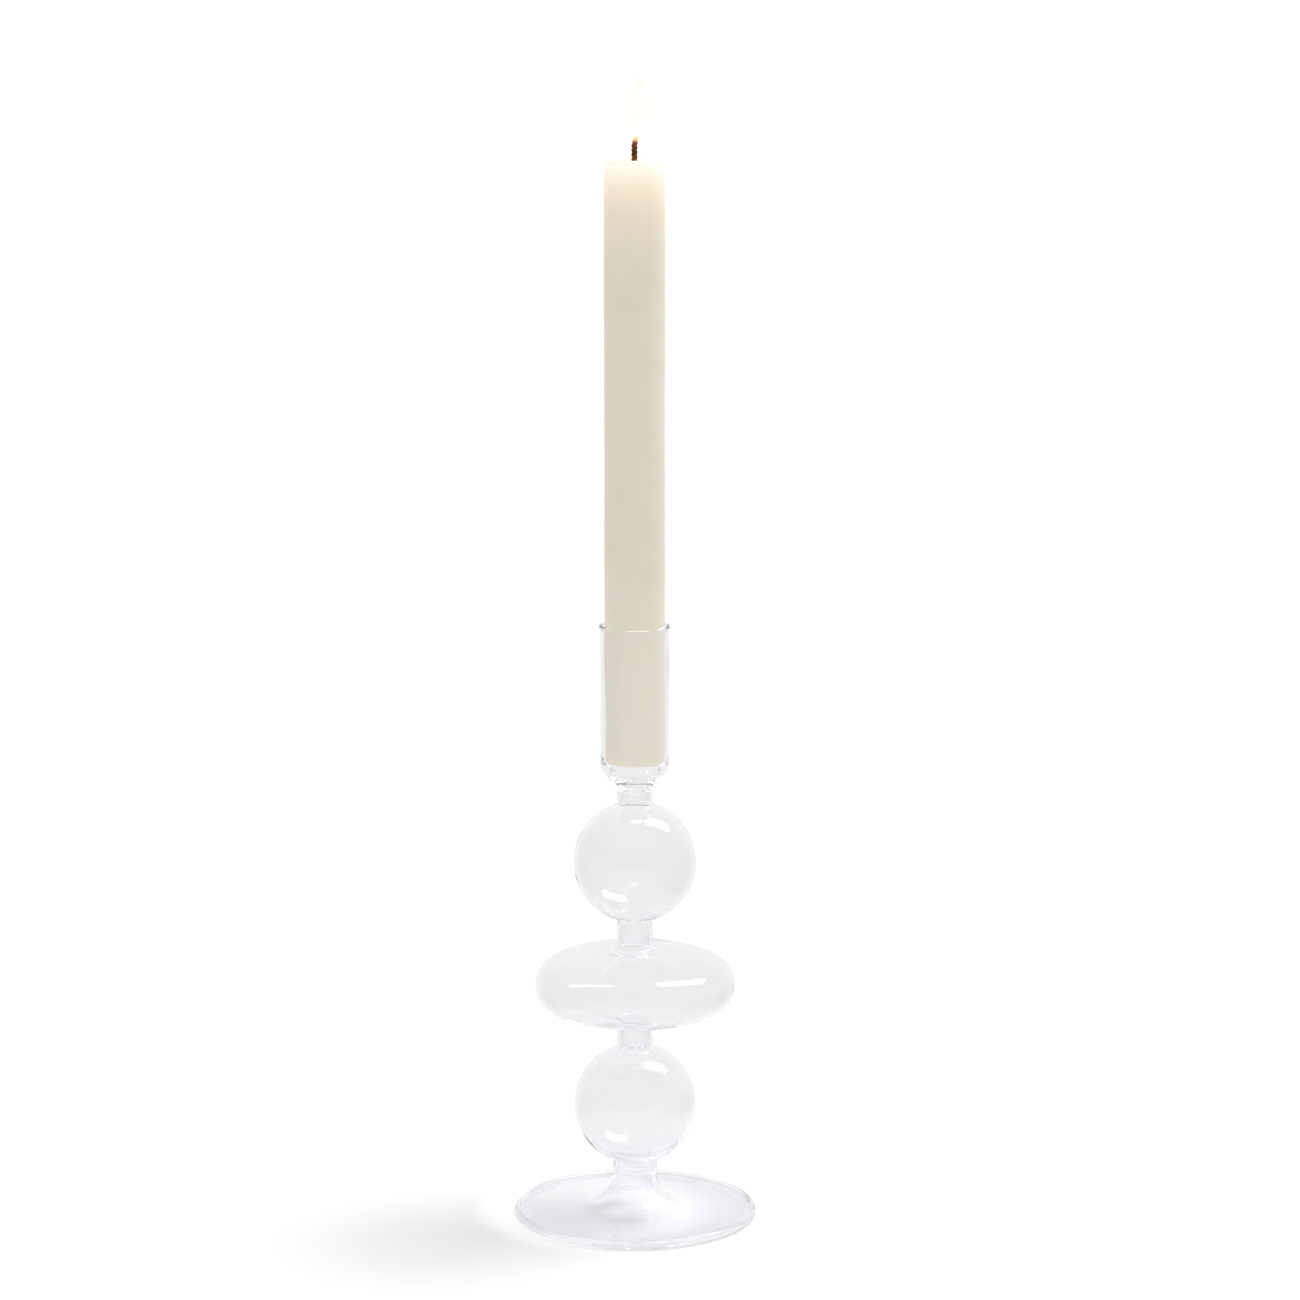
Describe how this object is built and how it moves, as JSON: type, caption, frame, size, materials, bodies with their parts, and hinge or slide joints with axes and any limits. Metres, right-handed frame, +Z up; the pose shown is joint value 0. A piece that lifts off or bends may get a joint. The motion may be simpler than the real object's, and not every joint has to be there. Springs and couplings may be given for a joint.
{
  "type": "candlestick",
  "caption": "Clear blown-glass candlestick: a round foot, balls and a flattened bubble stacked on slim necks, and a tube cup that holds a lift-out dinner candle.",
  "frame": {"origin": "centre of the ring that the foot rests on, on the axis of the stem", "axes": "+Z points up along the stem's axis; the glass is round, so +X and +Y are any two level directions"},
  "size_m": [0.09, 0.09, 0.3991],
  "materials": {
    "clear_glass": "clear borosilicate glass, fire-polished",
    "ivory_wax": "ivory candle wax, satin",
    "charred_wick": "braided cotton, charred at the top",
    "flame": "candle flame, glowing"
  },
  "bodies": {
    "candlestick": {"foot": "clear_glass", "foot_neck": "clear_glass", "lower_ball": "clear_glass", "disc_lower_neck": "clear_glass", "disc": "clear_glass", "disc_upper_neck": "clear_glass", "upper_ball": "clear_glass", "upper_neck": "clear_glass", "candle_cup": "clear_glass"},
    "candle_and_wick": {"candle": "ivory_wax", "wick": "charred_wick"}
  },
  "joints": [
    {"name": "candle_lift", "type": "slide", "parent": "candlestick", "child": "candle_and_wick", "axis": [0, 0, 1], "range_m": [0, 0.07]}
  ]
}
